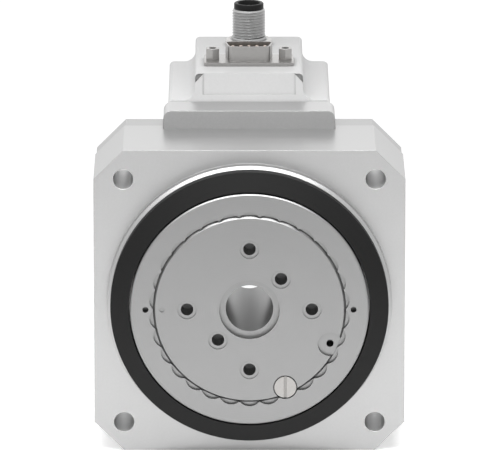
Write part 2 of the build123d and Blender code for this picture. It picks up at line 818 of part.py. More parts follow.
with BuildPart() as output_gear:
    with BuildSketch(front_plane(y_gear)):
        Polygon(*tooth_outline(gear_teeth, gear_r, 90), align=None)
        Circle(rear_bore_r + run_gap, mode=Mode.SUBTRACT)
        with PolarLocations(gear_screw_r, gear_screw_count):
            Circle(gear_screw_hole_d / 2, mode=Mode.SUBTRACT)
    extrude(amount=-gear_width)
    with BuildSketch(front_plane(y_gear_back)):
        with PolarLocations(gear_screw_r, gear_screw_count):
            Circle(gear_head_d / 2 + head_gap)
    extrude(amount=gear_head_h + head_room, mode=Mode.SUBTRACT)
output_gear.part.label = "output_gear"

gear_screw_spots = [
    (gear_screw_r * cos(radians(step)), gear_screw_r * sin(radians(step)))
    for step in range(0, 360, 360 // gear_screw_count)]
gear_screw_y = y_gear_back - head_room - gear_head_h
with BuildPart() as gear_screws:
    cap_screw_set(
        gear_screw_spots, gear_screw_y, 1, gear_screw_core_d, gear_head_d, gear_head_h, gear_screw_hex,
        gear_screw_y - y_clamp + hub_end_gap + gear_screw_bite)
gear_screws.part.label = "gear_screws"


# Motor pinion with its hub and set screw
with BuildPart() as pinion:
    with BuildSketch(motor_plane(y_gear)):
        Polygon(*tooth_outline(pinion_teeth, pinion_r, 90 + 180 / pinion_teeth), align=None)
    extrude(amount=-gear_width)
    with BuildSketch(motor_plane(y_gear_back)):
        Circle(pinion_hub_r)
    extrude(amount=-pinion_hub_len)
    with BuildSketch(motor_plane(y_gear)):
        Circle(shaft_r + run_gap)
    extrude(amount=-(gear_width + pinion_hub_len), mode=Mode.SUBTRACT)
    with Locations(Plane(origin=(0, y_gear_back + pinion_hub_len / 2, motor_z), z_dir=(0, 0, 1))):
        Cylinder(
            set_screw_d / 2, pinion_hub_r + clear,
            align=(Align.CENTER, Align.CENTER, Align.MIN), mode=Mode.SUBTRACT)
pinion.part.label = "pinion"

with BuildPart() as set_screw:
    tip = Plane(origin=(0, y_gear_back + pinion_hub_len / 2, motor_z + shaft_r), z_dir=(0, 0, 1))
    with Locations(tip):
        Cylinder(set_screw_d / 2 - run_gap, set_screw_len, align=(Align.CENTER, Align.CENTER, Align.MIN))
    with BuildSketch(tip.offset(set_screw_len)):
        RegularPolygon(set_screw_hex / 2, 6, major_radius=False)
    extrude(amount=-set_screw_hex_depth, mode=Mode.SUBTRACT)
set_screw.part.label = "set_screw"


# Motor plate: carries the motor and closes the slot of the housing
with BuildPart() as motor_plate:
    with BuildSketch(motor_plane(y_motor_plate)):
        with Locations((0, (motor_plate_up - motor_plate_down) / 2)):
            RectangleRounded(motor_plate_w, motor_plate_up + motor_plate_down, motor_plate_corner)
        Circle(motor_plate_hole_r, mode=Mode.SUBTRACT)
        with Locations(*plate_screw_spots, *motor_screw_spots):
            Circle(m3_hole_d / 2, mode=Mode.SUBTRACT)
    extrude(amount=-motor_plate_t)
    with BuildSketch(motor_plane(y_motor)):
        Circle(pilot_r + run_gap)
    extrude(amount=pilot_h + slip_gap, mode=Mode.SUBTRACT)
    with BuildSketch(motor_plane(y_motor)):
        with Locations(*plate_screw_spots):
            Circle(m3_head_d / 2 + head_gap)
    extrude(amount=m3_head_h + head_room, mode=Mode.SUBTRACT)
    with BuildSketch(motor_plane(y_motor_plate)):
        with Locations(*motor_screw_spots):
            Circle(m3_head_d / 2 + head_gap)
    extrude(amount=-(m3_head_h + head_room), mode=Mode.SUBTRACT)
motor_plate.part.label = "motor_plate"

plate_screw_y = y_motor - head_room - m3_head_h
with BuildPart() as plate_screws:
    cap_screw_set(
        plate_screw_spots, plate_screw_y, 1, m3_core_d, m3_head_d, m3_head_h, m3_hex,
        plate_screw_y - y_motor_plate + plate_screw_bite - thread_end, motor_z)
plate_screws.part.label = "plate_screws"

motor_screw_y = y_motor_plate + head_room + m3_head_h
with BuildPart() as motor_screws:
    cap_screw_set(
        motor_screw_spots, motor_screw_y, -1, m3_core_d, m3_head_d, m3_head_h, m3_hex,
        y_motor - motor_screw_y + motor_screw_bite, motor_z)
motor_screws.part.label = "motor_screws"


# Motor: two end bells, stator with poles, coils, rotor and shaft
coil_pocket = coil_end + coil_room
coil_pocket_in = stator_bore_r - coil_room
coil_pocket_out = stator_yoke_r + coil_yoke_room


def bell(y_outer, y_inner):
    """End bell between two faces. The bearing and the coil pocket open towards y_inner."""
    inward = 1 if y_inner > y_outer else -1
    with BuildSketch(motor_plane(y_outer)) as outline:
        RectangleRounded(motor_w, motor_w, motor_corner)
    extrude(outline.sketch, amount=-inward * bell_len)
    with BuildSketch(motor_section) as hollow:
        turned(0, shaft_r + free_gap, min(y_outer, y_inner) - pilot_h - clear, max(y_outer, y_inner) + clear)
        bearing_from = y_inner - inward * motor_bearing_width
        turned(0, motor_bearing_outer_r, min(bearing_from, y_inner), max(bearing_from, y_inner))
        pocket_from = y_inner - inward * coil_pocket
        turned(coil_pocket_in, coil_pocket_out, min(pocket_from, y_inner), max(pocket_from, y_inner))
    return hollow.sketch


with BuildPart() as front_bell:
    hollow = bell(y_motor, y_stator)
    with BuildSketch(motor_plane(y_motor)):
        Circle(pilot_r)
    extrude(amount=pilot_h)
    revolve(hollow, axis=motor_turn, mode=Mode.SUBTRACT)
    with BuildSketch(motor_plane(y_motor)):
        with Locations(*motor_screw_spots):
            Circle(m3_core_d / 2)
    extrude(amount=-bell_len, mode=Mode.SUBTRACT)
front_bell.part.label = "front_bell"

with BuildPart() as rear_bell:
    hollow = bell(y_motor_end, y_rear_bell)
    revolve(hollow, axis=motor_turn, mode=Mode.SUBTRACT)
    with BuildSketch(motor_plane(y_rear_bell)):
        with Locations(*motor_screw_spots):
            Circle(m3_hole_d / 2)
    extrude(amount=-bell_len, mode=Mode.SUBTRACT)
    with BuildSketch(motor_plane(y_motor_end)):
        with Locations((0, encoder_spacer_z), (0, -encoder_spacer_z)):
            Circle(encoder_screw_d / 2)
    extrude(amount=bell_len - coil_pocket - clear, mode=Mode.SUBTRACT)
rear_bell.part.label = "rear_bell"

pole_angles = [360 / pole_count * step for step in range(pole_count)]
with BuildPart() as stator_core:
    with BuildSketch(motor_plane(y_stator)):
        RectangleRounded(motor_w, motor_w, motor_corner)
        Circle(stator_yoke_r, mode=Mode.SUBTRACT)
        with Locations(*motor_screw_spots):
            Circle(m3_hole_d / 2, mode=Mode.SUBTRACT)
    extrude(amount=-stator_len)
    with BuildSketch(motor_plane(y_stator)):
        for angle in pole_angles:
            with Locations(Location((0, 0, 0), (0, 0, angle))):
                with Locations(((stator_bore_r + stator_yoke_r + clear) / 2, 0)):
                    Rectangle(stator_yoke_r + clear - stator_bore_r, pole_w)
            half = radians(pole_shoe_angle / 2)
            turn = radians(angle)
            outer = stator_bore_r + pole_shoe_t
            corners = [
                (radius * cos(turn + side * half), radius * sin(turn + side * half))
                for radius, side in (
                    (stator_bore_r, -1), (outer, -1), (outer, 0), (outer, 1), (stator_bore_r, 1))]
            Polygon(*corners, (stator_bore_r * cos(turn), stator_bore_r * sin(turn)), align=None)
        Circle(stator_bore_r, mode=Mode.SUBTRACT)
    extrude(amount=-stator_len)
stator_core.part.label = "stator_core"

coil_in = stator_bore_r + pole_shoe_t + coil_shoe_gap
coil_out = stator_yoke_r - coil_yoke_room
with BuildPart() as coils:
    for angle in pole_angles:
        with Locations(Plane(
                origin=(0, y_stator + stator_len / 2, motor_z),
                x_dir=(cos(radians(angle)), 0, sin(radians(angle))), z_dir=(0, -1, 0))):
            with Locations(((coil_in + coil_out) / 2, 0, 0)):
                Box(coil_out - coil_in, coil_w, stator_len + 2 * coil_end)
                Box(coil_out - coil_in, pole_w + 2 * coil_gap, stator_len + 2 * coil_gap, mode=Mode.SUBTRACT)
coils.part.label = "coils"

y_shaft_front = y_gear + shaft_front_inset
y_encoder_disc = y_motor_end + encoder_disc_offset
y_shaft_rear = y_encoder_disc + encoder_disc_t + shaft_rear_end
with BuildPart() as motor_shaft:
    with BuildSketch(motor_section):
        turned(0, shaft_r, y_shaft_front, y_shaft_rear)
    revolve(axis=motor_turn)
motor_shaft.part.label = "motor_shaft"

with BuildPart() as magnet_rotor:
    with BuildSketch(motor_section):
        turned(shaft_r + run_gap, rotor_r, y_stator + rotor_gap_end, y_rear_bell - rotor_gap_end)
    revolve(axis=motor_turn)
magnet_rotor.part.label = "magnet_rotor"

with BuildPart() as tie_rods:
    for spot_x, spot_z in motor_screw_spots:
        place = Plane(origin=(spot_x, y_motor_end, motor_z + spot_z), x_dir=(1, 0, 0), z_dir=(0, -1, 0))
        with BuildSketch(place) as outline:
            RegularPolygon(tie_hex / 2, 6, major_radius=False)
        extrude(outline.sketch, amount=-(y_hood_inside - y_motor_end))
        with Locations(place):
            Cylinder(
                m3_core_d / 2, bell_len + stator_len + tie_bite,
                align=(Align.CENTER, Align.CENTER, Align.MIN))
        with BuildSketch(place.offset(-(y_hood_inside - y_motor_end))) as thread:
            Circle(m3_core_d / 2)
        extrude(thread.sketch, amount=hood_screw_bite + thread_end, mode=Mode.SUBTRACT)
tie_rods.part.label = "tie_rods"


# Encoder: disc on the shaft, board on two spacers
with BuildPart() as encoder_disc:
    with BuildSketch(motor_section):
        turned(shaft_r + run_gap, encoder_disc_r, y_encoder_disc, y_encoder_disc + encoder_disc_t)
        turned(shaft_r + run_gap, encoder_hub_r, y_encoder_disc - encoder_hub_len, y_encoder_disc)
    revolve(axis=motor_turn)
encoder_disc.part.label = "encoder_disc"

y_encoder_board = y_motor_end + encoder_spacer_len
encoder_spots = [(0, encoder_spacer_z), (0, -encoder_spacer_z)]
with BuildPart() as encoder_board:
    with BuildSketch(motor_plane(y_encoder_board)):
        Rectangle(encoder_board_w, encoder_board_h)
        with Locations(*encoder_spots):
            Circle(encoder_screw_d / 2 + slip_gap, mode=Mode.SUBTRACT)
    extrude(amount=-encoder_board_t)
encoder_board.part.label = "encoder_board"

with BuildPart() as encoder_sensor:
    with BuildSketch(motor_plane(y_encoder_board)):
        with Locations((0, sensor_z)):
            Rectangle(sensor_w, sensor_w)
    extrude(amount=sensor_t)
encoder_sensor.part.label = "encoder_sensor"

with BuildPart() as encoder_spacers:
    with BuildSketch(motor_plane(y_motor_end)):
        with Locations(*encoder_spots):
            Circle(encoder_spacer_r)
            Circle(encoder_screw_d / 2 + slip_gap, mode=Mode.SUBTRACT)
    extrude(amount=-encoder_spacer_len)
encoder_spacers.part.label = "encoder_spacers"

with BuildPart() as encoder_screws:
    cap_screw_set(
        encoder_spots, y_encoder_board + encoder_board_t, 1, encoder_screw_d, encoder_head_d,
        encoder_head_h, encoder_screw_hex,
        encoder_board_t + encoder_spacer_len + encoder_screw_bite, motor_z)
encoder_screws.part.label = "encoder_screws"


# Hood over the motor, with the tower that carries the connectors
tower_inside = tower_top - hood_wall
board_top = tower_inside - board_drop
board_spots = [
    (sx * board_post_x, y) for sx in (-1, 1)
    for y in (y_board + board_post_inset, y_board_end - board_post_inset)]
jack_spots = [(-dsub_screw_pitch / 2, dsub_y), (dsub_screw_pitch / 2, dsub_y)]


def hood_outline(shrink):
    """Section of the hood across Y. shrink makes the inner outline."""
    low = hood_bottom + shrink
    high = hood_top - shrink
    top = tower_top - shrink
    wide = hood_half_w - shrink
    narrow = tower_half_w - shrink
    Polygon(
        (-wide, low), (wide, low), (wide, high), (narrow, high), (narrow, top),
        (-narrow, top), (-narrow, high), (-wide, high), align=None)


with BuildPart() as hood:
    with BuildSketch(front_plane(y_motor)) as outer:
        hood_outline(0)
        fillet(outer.vertices().filter_by(lambda v: abs(abs(v.X) - hood_half_w) < near), radius=hood_corner)
        fillet(outer.vertices().filter_by(lambda v: v.Y > tower_top - near), radius=tower_corner)
        foot = outer.vertices().filter_by(lambda v: abs(v.Y - hood_top) < near)
        foot = foot.filter_by(lambda v: abs(abs(v.X) - tower_half_w) < near)
        fillet(foot, radius=tower_fillet)
    extrude(amount=-(y_hood_end - y_motor))
    # Sloping front of the tower
    with BuildSketch(Plane.YZ):
        Polygon(
            (y_motor, tower_foot), (y_tower_foot, tower_foot), (y_tower, tower_top),
            (y_tower, tower_top + clear), (y_motor, tower_top + clear), align=None)
    extrude(amount=hood_half_w, both=True, mode=Mode.SUBTRACT)
    # Hollow: the wide part is open at the front, the tower starts behind its front wall
    with BuildSketch(front_plane(y_motor)):
        with Locations((0, (hood_bottom + hood_top) / 2)):
            Rectangle(2 * (hood_half_w - hood_wall), hood_top - hood_bottom - 2 * hood_wall)
    extrude(amount=-(y_hood_inside - y_motor), mode=Mode.SUBTRACT)
    with BuildSketch(front_plane(y_tower + hood_wall)):
        hood_outline(hood_wall)
    extrude(amount=-(y_hood_inside - y_tower - hood_wall), mode=Mode.SUBTRACT)
    # Small openings in the two upper front corners of the tower, inside its rounded outline
    for side in (-1, 1):
        with BuildSketch(front_plane(y_motor)) as window:
            hood_outline(window_wall)
            fillet(
                window.vertices().filter_by(lambda v: v.Y > tower_top - window_wall - near),
                radius=tower_corner - window_wall)
            corner_x = side * (tower_half_w - window_wall)
            Polygon(
                (corner_x, tower_top - window_wall - window_cut), (corner_x, tower_top),
                (corner_x - side * window_cut, tower_top),
                (corner_x - side * window_cut, tower_top - window_wall), align=None, mode=Mode.INTERSECT)
        extrude(amount=-(y_tower + window_depth - y_motor), mode=Mode.SUBTRACT)
    # Flat panel on the sloping front, below the connector
    slope = (y_tower - y_tower_foot) / (tower_top - tower_foot)
    panel_y = y_tower_foot + slope * (panel_foot - tower_foot)
    with BuildSketch(Plane.YZ):
        Polygon(
            (panel_y - clear, panel_foot), (panel_y + panel_depth, panel_foot),
            (y_tower + panel_depth, tower_top), (y_tower - clear, tower_top), align=None)
    extrude(amount=panel_w / 2, both=True, mode=Mode.SUBTRACT)
    # Posts for the connector board
    with BuildSketch(Plane.XY.offset(board_top)):
        with Locations(*board_spots):
            Circle(board_post_r)
    extrude(amount=board_drop)
    with BuildSketch(Plane.XY.offset(board_top)):
        with Locations(*board_spots):
            Circle(board_screw_d / 2)
    extrude(amount=board_screw_len, mode=Mode.SUBTRACT)
    # Openings in the top for the two connectors
    with BuildSketch(Plane.XY.offset(tower_inside)):
        with Locations((0, dsub_y)):
            Rectangle(dsub_body_w + 2 * slip_gap, dsub_body_d + 2 * slip_gap)
        with Locations(*jack_spots):
            Circle(jack_shank_d / 2 + slip_gap)
        with Locations((0, m12_y)):
            Circle(m12_tail_r + slip_gap)
    extrude(amount=hood_wall, mode=Mode.SUBTRACT)
    with BuildSketch(motor_plane(y_hood_end)):
        with Locations(*motor_screw_spots):
            Circle(m3_hole_d / 2)
    extrude(amount=hood_rear_wall, mode=Mode.SUBTRACT)
hood.part.label = "hood"

with BuildPart() as hood_screws:
    cap_screw_set(
        motor_screw_spots, y_hood_end, 1, m3_core_d, m3_head_d, hood_head_h, hood_screw_hex,
        hood_rear_wall + hood_screw_bite, motor_z)
hood_screws.part.label = "hood_screws"

with BuildPart() as connector_board:
    with BuildSketch(Plane.XY.offset(board_top - board_t)):
        with Locations((0, y_board + board_l / 2)):
            Rectangle(board_w, board_l)
        with Locations(*board_spots):
            Circle(board_screw_d / 2 + slip_gap, mode=Mode.SUBTRACT)
    extrude(amount=board_t)
connector_board.part.label = "connector_board"

with BuildPart() as driver_chip:
    with Locations((0, chip_y, board_top - board_t)):
        Box(chip_w, chip_w, chip_t, align=(Align.CENTER, Align.CENTER, Align.MAX))
driver_chip.part.label = "driver_chip"

with BuildPart() as board_screws:
    for spot_x, spot_y in board_spots:
        with Locations((spot_x, spot_y, board_top - board_t)):
            Cylinder(
                board_screw_d / 2, board_t + board_screw_len - board_screw_end,
                align=(Align.CENTER, Align.CENTER, Align.MIN))
            Cylinder(board_head_d / 2, board_head_h, align=(Align.CENTER, Align.CENTER, Align.MAX))
board_screws.part.label = "board_screws"


# D-Sub connector
dsub_top = tower_top + dsub_flange_t
dsub_rim = dsub_top + dsub_shell_h


def d_outline(shrink):
    """D shape with its wide side towards the back."""
    back = dsub_shell_w / 2 - shrink
    slant = tan(radians(dsub_shell_taper))
    front = back - dsub_shell_d * slant
    depth = dsub_shell_d / 2 - shrink
    with BuildSketch(mode=Mode.PRIVATE) as outline:
        Polygon((-front, -depth), (front, -depth), (back, depth), (-back, depth), align=None)
        fillet(outline.vertices(), radius=dsub_shell_corner - shrink)
    return outline.sketch


with BuildPart() as dsub_shell:
    with BuildSketch(up_plane(dsub_y, tower_top)):
        RectangleRounded(dsub_flange_w, dsub_flange_d, dsub_flange_corner)
        add(d_outline(dsub_shell_wall), mode=Mode.SUBTRACT)
        with Locations((-dsub_screw_pitch / 2, 0), (dsub_screw_pitch / 2, 0)):
            Circle(jack_shank_d / 2 + slip_gap, mode=Mode.SUBTRACT)
    extrude(amount=dsub_flange_t)
    with BuildSketch(up_plane(dsub_y, dsub_top)):
        add(d_outline(0))
        add(d_outline(dsub_shell_wall), mode=Mode.SUBTRACT)
    extrude(amount=dsub_shell_h)
dsub_shell.part.label = "dsub_shell"

dsub_pin_spots = [
    ((step - (dsub_long_row - 1) / 2) * dsub_pitch, dsub_row / 2) for step in range(dsub_long_row)]
dsub_pin_spots += [
    ((step - (dsub_short_row - 1) / 2) * dsub_pitch, -dsub_row / 2) for step in range(dsub_short_row)]
dsub_body_bottom = board_top + dsub_body_lift
with BuildPart() as dsub_insulator:
    with BuildSketch(up_plane(dsub_y, dsub_body_bottom)):
        Rectangle(dsub_body_w, dsub_body_d)
    extrude(amount=tower_top - dsub_body_bottom)
    with BuildSketch(up_plane(dsub_y, tower_top)):
        add(d_outline(dsub_shell_wall + run_gap))
    extrude(amount=dsub_flange_t + dsub_floor)
    with BuildSketch(up_plane(dsub_y, dsub_body_bottom)):
        with Locations(*dsub_pin_spots):
            Circle(dsub_pin_r)
    extrude(amount=dsub_rim - dsub_body_bottom, mode=Mode.SUBTRACT)
dsub_insulator.part.label = "dsub_insulator"

with BuildPart() as dsub_pins:
    with BuildSketch(up_plane(dsub_y, board_top)):
        with Locations(*dsub_pin_spots):
            Circle(dsub_pin_r)
    extrude(amount=dsub_rim - dsub_pin_drop - board_top)
dsub_pins.part.label = "dsub_pins"

with BuildPart() as jackscrews:
    for spot_x, spot_y in jack_spots:
        base = Plane(origin=(spot_x, spot_y, dsub_top), x_dir=(1, 0, 0), z_dir=(0, 0, 1))
        with BuildSketch(base) as outline:
            RegularPolygon(jack_hex / 2, 6, major_radius=False, rotation=30)
        extrude(outline.sketch, amount=jack_h)
        with Locations(base):
            Cylinder(jack_shank_d / 2, jack_shank_len, align=(Align.CENTER, Align.CENTER, Align.MAX))
        with BuildSketch(base.offset(jack_h)) as thread:
            Circle(jack_hole_d / 2)
        extrude(thread.sketch, amount=-jack_hole_depth, mode=Mode.SUBTRACT)
jackscrews.part.label = "jackscrews"

with BuildPart() as jack_nuts:
    for spot_x, spot_y in jack_spots:
        base = Plane(origin=(spot_x, spot_y, tower_inside), x_dir=(1, 0, 0), z_dir=(0, 0, 1))
        with BuildSketch(base) as outline:
            RegularPolygon(jack_nut_w / 2, 6, major_radius=False)
            Circle(jack_shank_d / 2, mode=Mode.SUBTRACT)
        extrude(outline.sketch, amount=-jack_nut_h)
jack_nuts.part.label = "jack_nuts"


# M12 connector
m12_collar_z = tower_top + m12_base_h
m12_thread_z = m12_collar_z + m12_collar_h
m12_thread_top = m12_thread_z + m12_thread_h
m12_rim_z = m12_thread_top + m12_rim_h
m12_bottom = tower_inside - m12_tail
m12_turn = Axis((0, m12_y, 0), (0, 0, 1))
m12_section = Plane(origin=(0, m12_y, 0), x_dir=(1, 0, 0), z_dir=(0, -1, 0))


def upright(r_in, r_out, z_from, z_to):
    """One rectangle of an upright turned section."""
    with Locations(((r_in + r_out) / 2, (z_from + z_to) / 2)):
        Rectangle(r_out - r_in, z_to - z_from)


with BuildPart() as m12_base:
    with BuildSketch(m12_section):
        upright(m12_tail_r + run_gap, m12_base_r, tower_top, m12_collar_z)
    revolve(axis=m12_turn)
    chamfer(m12_base.faces().sort_by(Axis.Z)[-1].outer_wire().edges(), length=m12_base_edge)
m12_base.part.label = "m12_base"

with BuildPart() as m12_body:
    with BuildSketch(m12_section):
        upright(m12_inner_r, m12_tail_r, m12_bottom, m12_collar_z)
        upright(m12_inner_r, m12_tail_r, m12_collar_z, m12_thread_z)
        upright(m12_inner_r, m12_thread_r, m12_thread_z, m12_thread_top)
    revolve(axis=m12_turn)
m12_body.part.label = "m12_body"

with BuildPart() as m12_nut:
    with BuildSketch(up_plane(m12_y, tower_inside - m12_nut_h)):
        RegularPolygon(m12_nut_w / 2, 6, major_radius=False)
        Circle(m12_tail_r, mode=Mode.SUBTRACT)
    extrude(amount=m12_nut_h)
m12_nut.part.label = "m12_nut"

m12_pin_spots = [
    (m12_pin_pitch_r * cos(radians(angle)), m12_pin_pitch_r * sin(radians(angle)))
    for angle in [m12_first_pin + 360 / m12_pin_count * step for step in range(m12_pin_count)]]
with BuildPart() as m12_insert:
    with BuildSketch(m12_section):
        upright(0, m12_inner_r - run_gap, m12_bottom, m12_thread_top)
        upright(0, m12_rim_r, m12_thread_top, m12_rim_z)
    revolve(axis=m12_turn)
    with BuildSketch(m12_section):
        upright(0, m12_rim_inner_r, m12_rim_z - m12_floor, m12_rim_z)
    revolve(axis=m12_turn, mode=Mode.SUBTRACT)
    with Locations((0, m12_y - m12_rim_inner_r, m12_rim_z - m12_floor)):
        Box(m12_key_w, 2 * m12_key_t, m12_floor - m12_key_drop, align=(Align.CENTER, Align.CENTER, Align.MIN))
    with BuildSketch(up_plane(m12_y, m12_bottom)):
        with Locations(*m12_pin_spots):
            Circle(m12_pin_r)
    extrude(amount=m12_rim_z - m12_bottom, mode=Mode.SUBTRACT)
m12_insert.part.label = "m12_insert"

with BuildPart() as m12_pins:
    with BuildSketch(up_plane(m12_y, board_top)):
        with Locations(*m12_pin_spots):
            Circle(m12_pin_r)
    extrude(amount=m12_rim_z - m12_floor + m12_pin_h - board_top)
m12_pins.part.label = "m12_pins"


# One file for each named piece
pieces = [
    housing_body, rear_cover, cover_screws, cover_ring, housing_clip,
    main_outer_race, main_inner_race, main_balls, main_cage,
    rear_outer_race, rear_inner_race, rear_balls, rear_cage, shaft_clip,
    rotary_plate, index_ring, lock_plug, clamp_ring, output_gear, gear_screws,
    pinion, set_screw, motor_shaft, magnet_rotor, encoder_disc,
    motor_outer_races, motor_inner_races, motor_balls, motor_cages,
    motor_plate, plate_screws, motor_screws, front_bell, rear_bell, stator_core, coils, tie_rods,
    encoder_board, encoder_sensor, encoder_spacers, encoder_screws,
    hood, hood_screws, connector_board, driver_chip, board_screws,
    dsub_shell, dsub_insulator, dsub_pins, jackscrews, jack_nuts,
    m12_base, m12_body, m12_nut, m12_insert, m12_pins]
for piece in pieces:
    export_step(piece.part, "parts/" + piece.part.label + ".step")
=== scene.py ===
import math

import bpy
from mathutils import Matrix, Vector


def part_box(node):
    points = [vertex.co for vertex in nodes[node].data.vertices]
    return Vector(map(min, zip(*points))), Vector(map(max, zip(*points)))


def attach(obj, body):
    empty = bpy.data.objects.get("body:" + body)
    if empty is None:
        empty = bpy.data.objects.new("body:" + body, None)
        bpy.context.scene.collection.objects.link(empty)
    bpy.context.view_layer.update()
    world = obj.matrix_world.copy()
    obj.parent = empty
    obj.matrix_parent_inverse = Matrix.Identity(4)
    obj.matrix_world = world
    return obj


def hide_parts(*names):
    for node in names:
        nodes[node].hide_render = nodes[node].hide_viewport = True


# Rotary actuator seen from the front and a little above. Units are metres, in the frame of the
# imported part: X to the right, Y back along the output axis, Z up. Sizes named here are in millimetres.

MM = 0.001

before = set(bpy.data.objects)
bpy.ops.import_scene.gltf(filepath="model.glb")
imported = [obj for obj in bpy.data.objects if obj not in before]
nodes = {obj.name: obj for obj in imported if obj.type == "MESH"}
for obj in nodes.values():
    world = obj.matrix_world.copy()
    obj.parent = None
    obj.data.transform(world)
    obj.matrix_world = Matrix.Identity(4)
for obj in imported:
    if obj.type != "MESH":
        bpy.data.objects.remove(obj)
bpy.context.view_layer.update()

# M12 connector
m12_pitch = 1.0
m12_crest_r = 5.8         # over the crests of the thread
m12_thread_depth = 0.5
m12_thread_slope = 1.25   # above 1 the bottom of the groove is flat
m12_thread_chamfer = 0.6
m12_bore_r = 4.4
m12_collar_r = 5.95       # plain collar under the thread
m12_collar_h = 1.0
m12_collar_chamfer = 0.15
m12_sink = 0.02           # the collar goes this far into the base that it stands on
m12_drop = 0.42           # the thread ends this far below the top of the CAD solid
m12_rim_r = 5.13          # black rim of the contact carrier
m12_rim_inner_r = 4.0
m12_rim_h = 2.0
m12_rim_round = 0.25
m12_lip_w = 0.3           # slope from the rim into the socket
m12_lip_h = 0.4
m12_socket_depth = 6.8
m12_key_half_w = 0.4
m12_key_t = 0.5
m12_foot_gap = 0.05       # between the carrier and the bore
m12_pin_r = 0.5
m12_pin_pitch_r = 2.3
m12_pin_drop = 2.7        # the contacts end this far below the rim
m12_pin_count = 4
m12_first_pin = 45        # degrees
m12_pin_tip = (0, 30, 60)  # degrees round the tip of a contact

# Hood: closing pieces behind the two open corners in its front
tower_half_w = 18.6
tower_front = 5.5         # from the motor plate to the top edge of the hood's front
window_cut = 2.75
window_wall = 0.2
window_corner = 1.3
liner_t = 1.0
liner_inset = 0.5         # behind the top edge of the hood's front

# Housing: painted light on the walls of its four corner holes
mount_hole_at = 42.5      # of the four holes, from the output axis along X and Z
hole_light_reach = 3.5    # takes in the walls of those holes

# Meshes
round_steps = 144         # facets of a turned piece
pin_steps = 24
corner_steps = 6
thread_steps = 12         # points on one turn of the thread
sharp_angle = math.radians(50)

# Finishes
mottle_from = 0.3         # stretch of the noise that carries the colour from dark to light
mottle_to = 0.7
rough_spread = 0.12
relief_depth = 0.05
# samples of the occlusion that paints shade into gaps
gap_shade_samples = 6
edge_samples = 4
lathe_rings = 4500.0      # noise scale along the radius, per metre

# Camera: found from the square face, the round plate and the connectors of the photograph
look_down = math.radians(14.9)
look_right = math.radians(0.14)
camera_distance = 2.3136
camera_aim = Vector((0.0002, 0, 0.0266))
camera_lens = 494.5
camera_reach = 20.0

# Light
scene_middle = Vector((0, 0.02, 0.01))
ambient = 0.5             # world light on diffuse surfaces, where 1 is white
floor_size = 6.0
floor_drop = 0.05         # keeps it clear of the underside of the housing
floor_white = 0.9
floor_rough = 0.9
floor_glow = 0.4          # the floor's own part of its white, seen but lighting nothing


def new_material(name):
    """Empty node material and its principled shader."""
    material = bpy.data.materials.new(name)
    material.use_nodes = True
    tree = material.node_tree
    return material, tree, tree.nodes["Principled BSDF"]


def add_node(tree, kind, **values):
    """Adds a node and sets its sockets or settings by name."""
    node = tree.nodes.new(kind)
    for key, value in values.items():
        if key in node.inputs:
            node.inputs[key].default_value = value
        else:
            setattr(node, key, value)
    return node


def grey(value, warm=0.0):
    """A grey, pushed a little to red and away from blue by warm."""
    return (value * (1 + warm), value, value * (1 - warm), 1.0)


def coordinates(tree, scale):
    """Object coordinates scaled per axis, so that grain can be stretched along one."""
    where = tree.nodes.new("ShaderNodeTexCoord")
    mapping = add_node(tree, "ShaderNodeMapping", Scale=scale)
    tree.links.new(where.outputs["Object"], mapping.inputs["Vector"])
    return mapping.outputs["Vector"]


def paint_gap_shade(tree, base, gap_shade, reach):
    """The colour base with painted shade: darker, by the occlusion raised to a power, in gaps narrower
    than reach, in mm.
    """
    occlusion = add_node(tree, "ShaderNodeAmbientOcclusion", Distance=reach * MM, samples=gap_shade_samples)
    depth = add_node(tree, "ShaderNodeMath", operation="POWER")
    depth.inputs[1].default_value = gap_shade
    tree.links.new(occlusion.outputs["AO"], depth.inputs[0])
    shade = add_node(tree, "ShaderNodeVectorMath", operation="SCALE")
    tree.links.new(base, shade.inputs[0])
    tree.links.new(depth.outputs["Value"], shade.inputs["Scale"])
    return shade.outputs["Vector"]


def vary(tree, shader, noise, colour, rough, mottle, gap_shade, reach):
    """Colour and roughness follow the noise. The colour can also carry painted shade in gaps."""
    ramp = tree.nodes.new("ShaderNodeValToRGB")
    dark, light = ramp.color_ramp.elements
    dark.position = mottle_from
    light.position = mottle_to
    dark.color = tuple(c * (1 - mottle) for c in colour[:3]) + (1.0,)
    light.color = tuple(min(1.0, c * (1 + mottle)) for c in colour[:3]) + (1.0,)
    tree.links.new(noise, ramp.inputs["Fac"])
    base = ramp.outputs["Color"]
    # painted shade: the colour goes darker in gaps, where shade falls
    if gap_shade:
        base = paint_gap_shade(tree, base, gap_shade, reach)
    tree.links.new(base, shader.inputs["Base Color"])
    spread = add_node(tree, "ShaderNodeMapRange")
    spread.inputs["To Min"].default_value = rough * (1 - rough_spread)
    spread.inputs["To Max"].default_value = min(1.0, rough * (1 + rough_spread))
    tree.links.new(noise, spread.inputs["Value"])
    tree.links.new(spread.outputs["Result"], shader.inputs["Roughness"])


def relieve(tree, shader, height, strength, edge):
    """Rounds the edges a little and adds fine relief from height."""
    bevel = add_node(tree, "ShaderNodeBevel", Radius=edge * MM, samples=edge_samples)
    normal = bevel.outputs["Normal"]
    if strength:
        relief = add_node(tree, "ShaderNodeBump", Strength=strength, Distance=relief_depth * MM)
        tree.links.new(height, relief.inputs["Height"])
        tree.links.new(normal, relief.inputs["Normal"])
        normal = relief.outputs["Normal"]
    tree.links.new(normal, shader.inputs["Normal"])


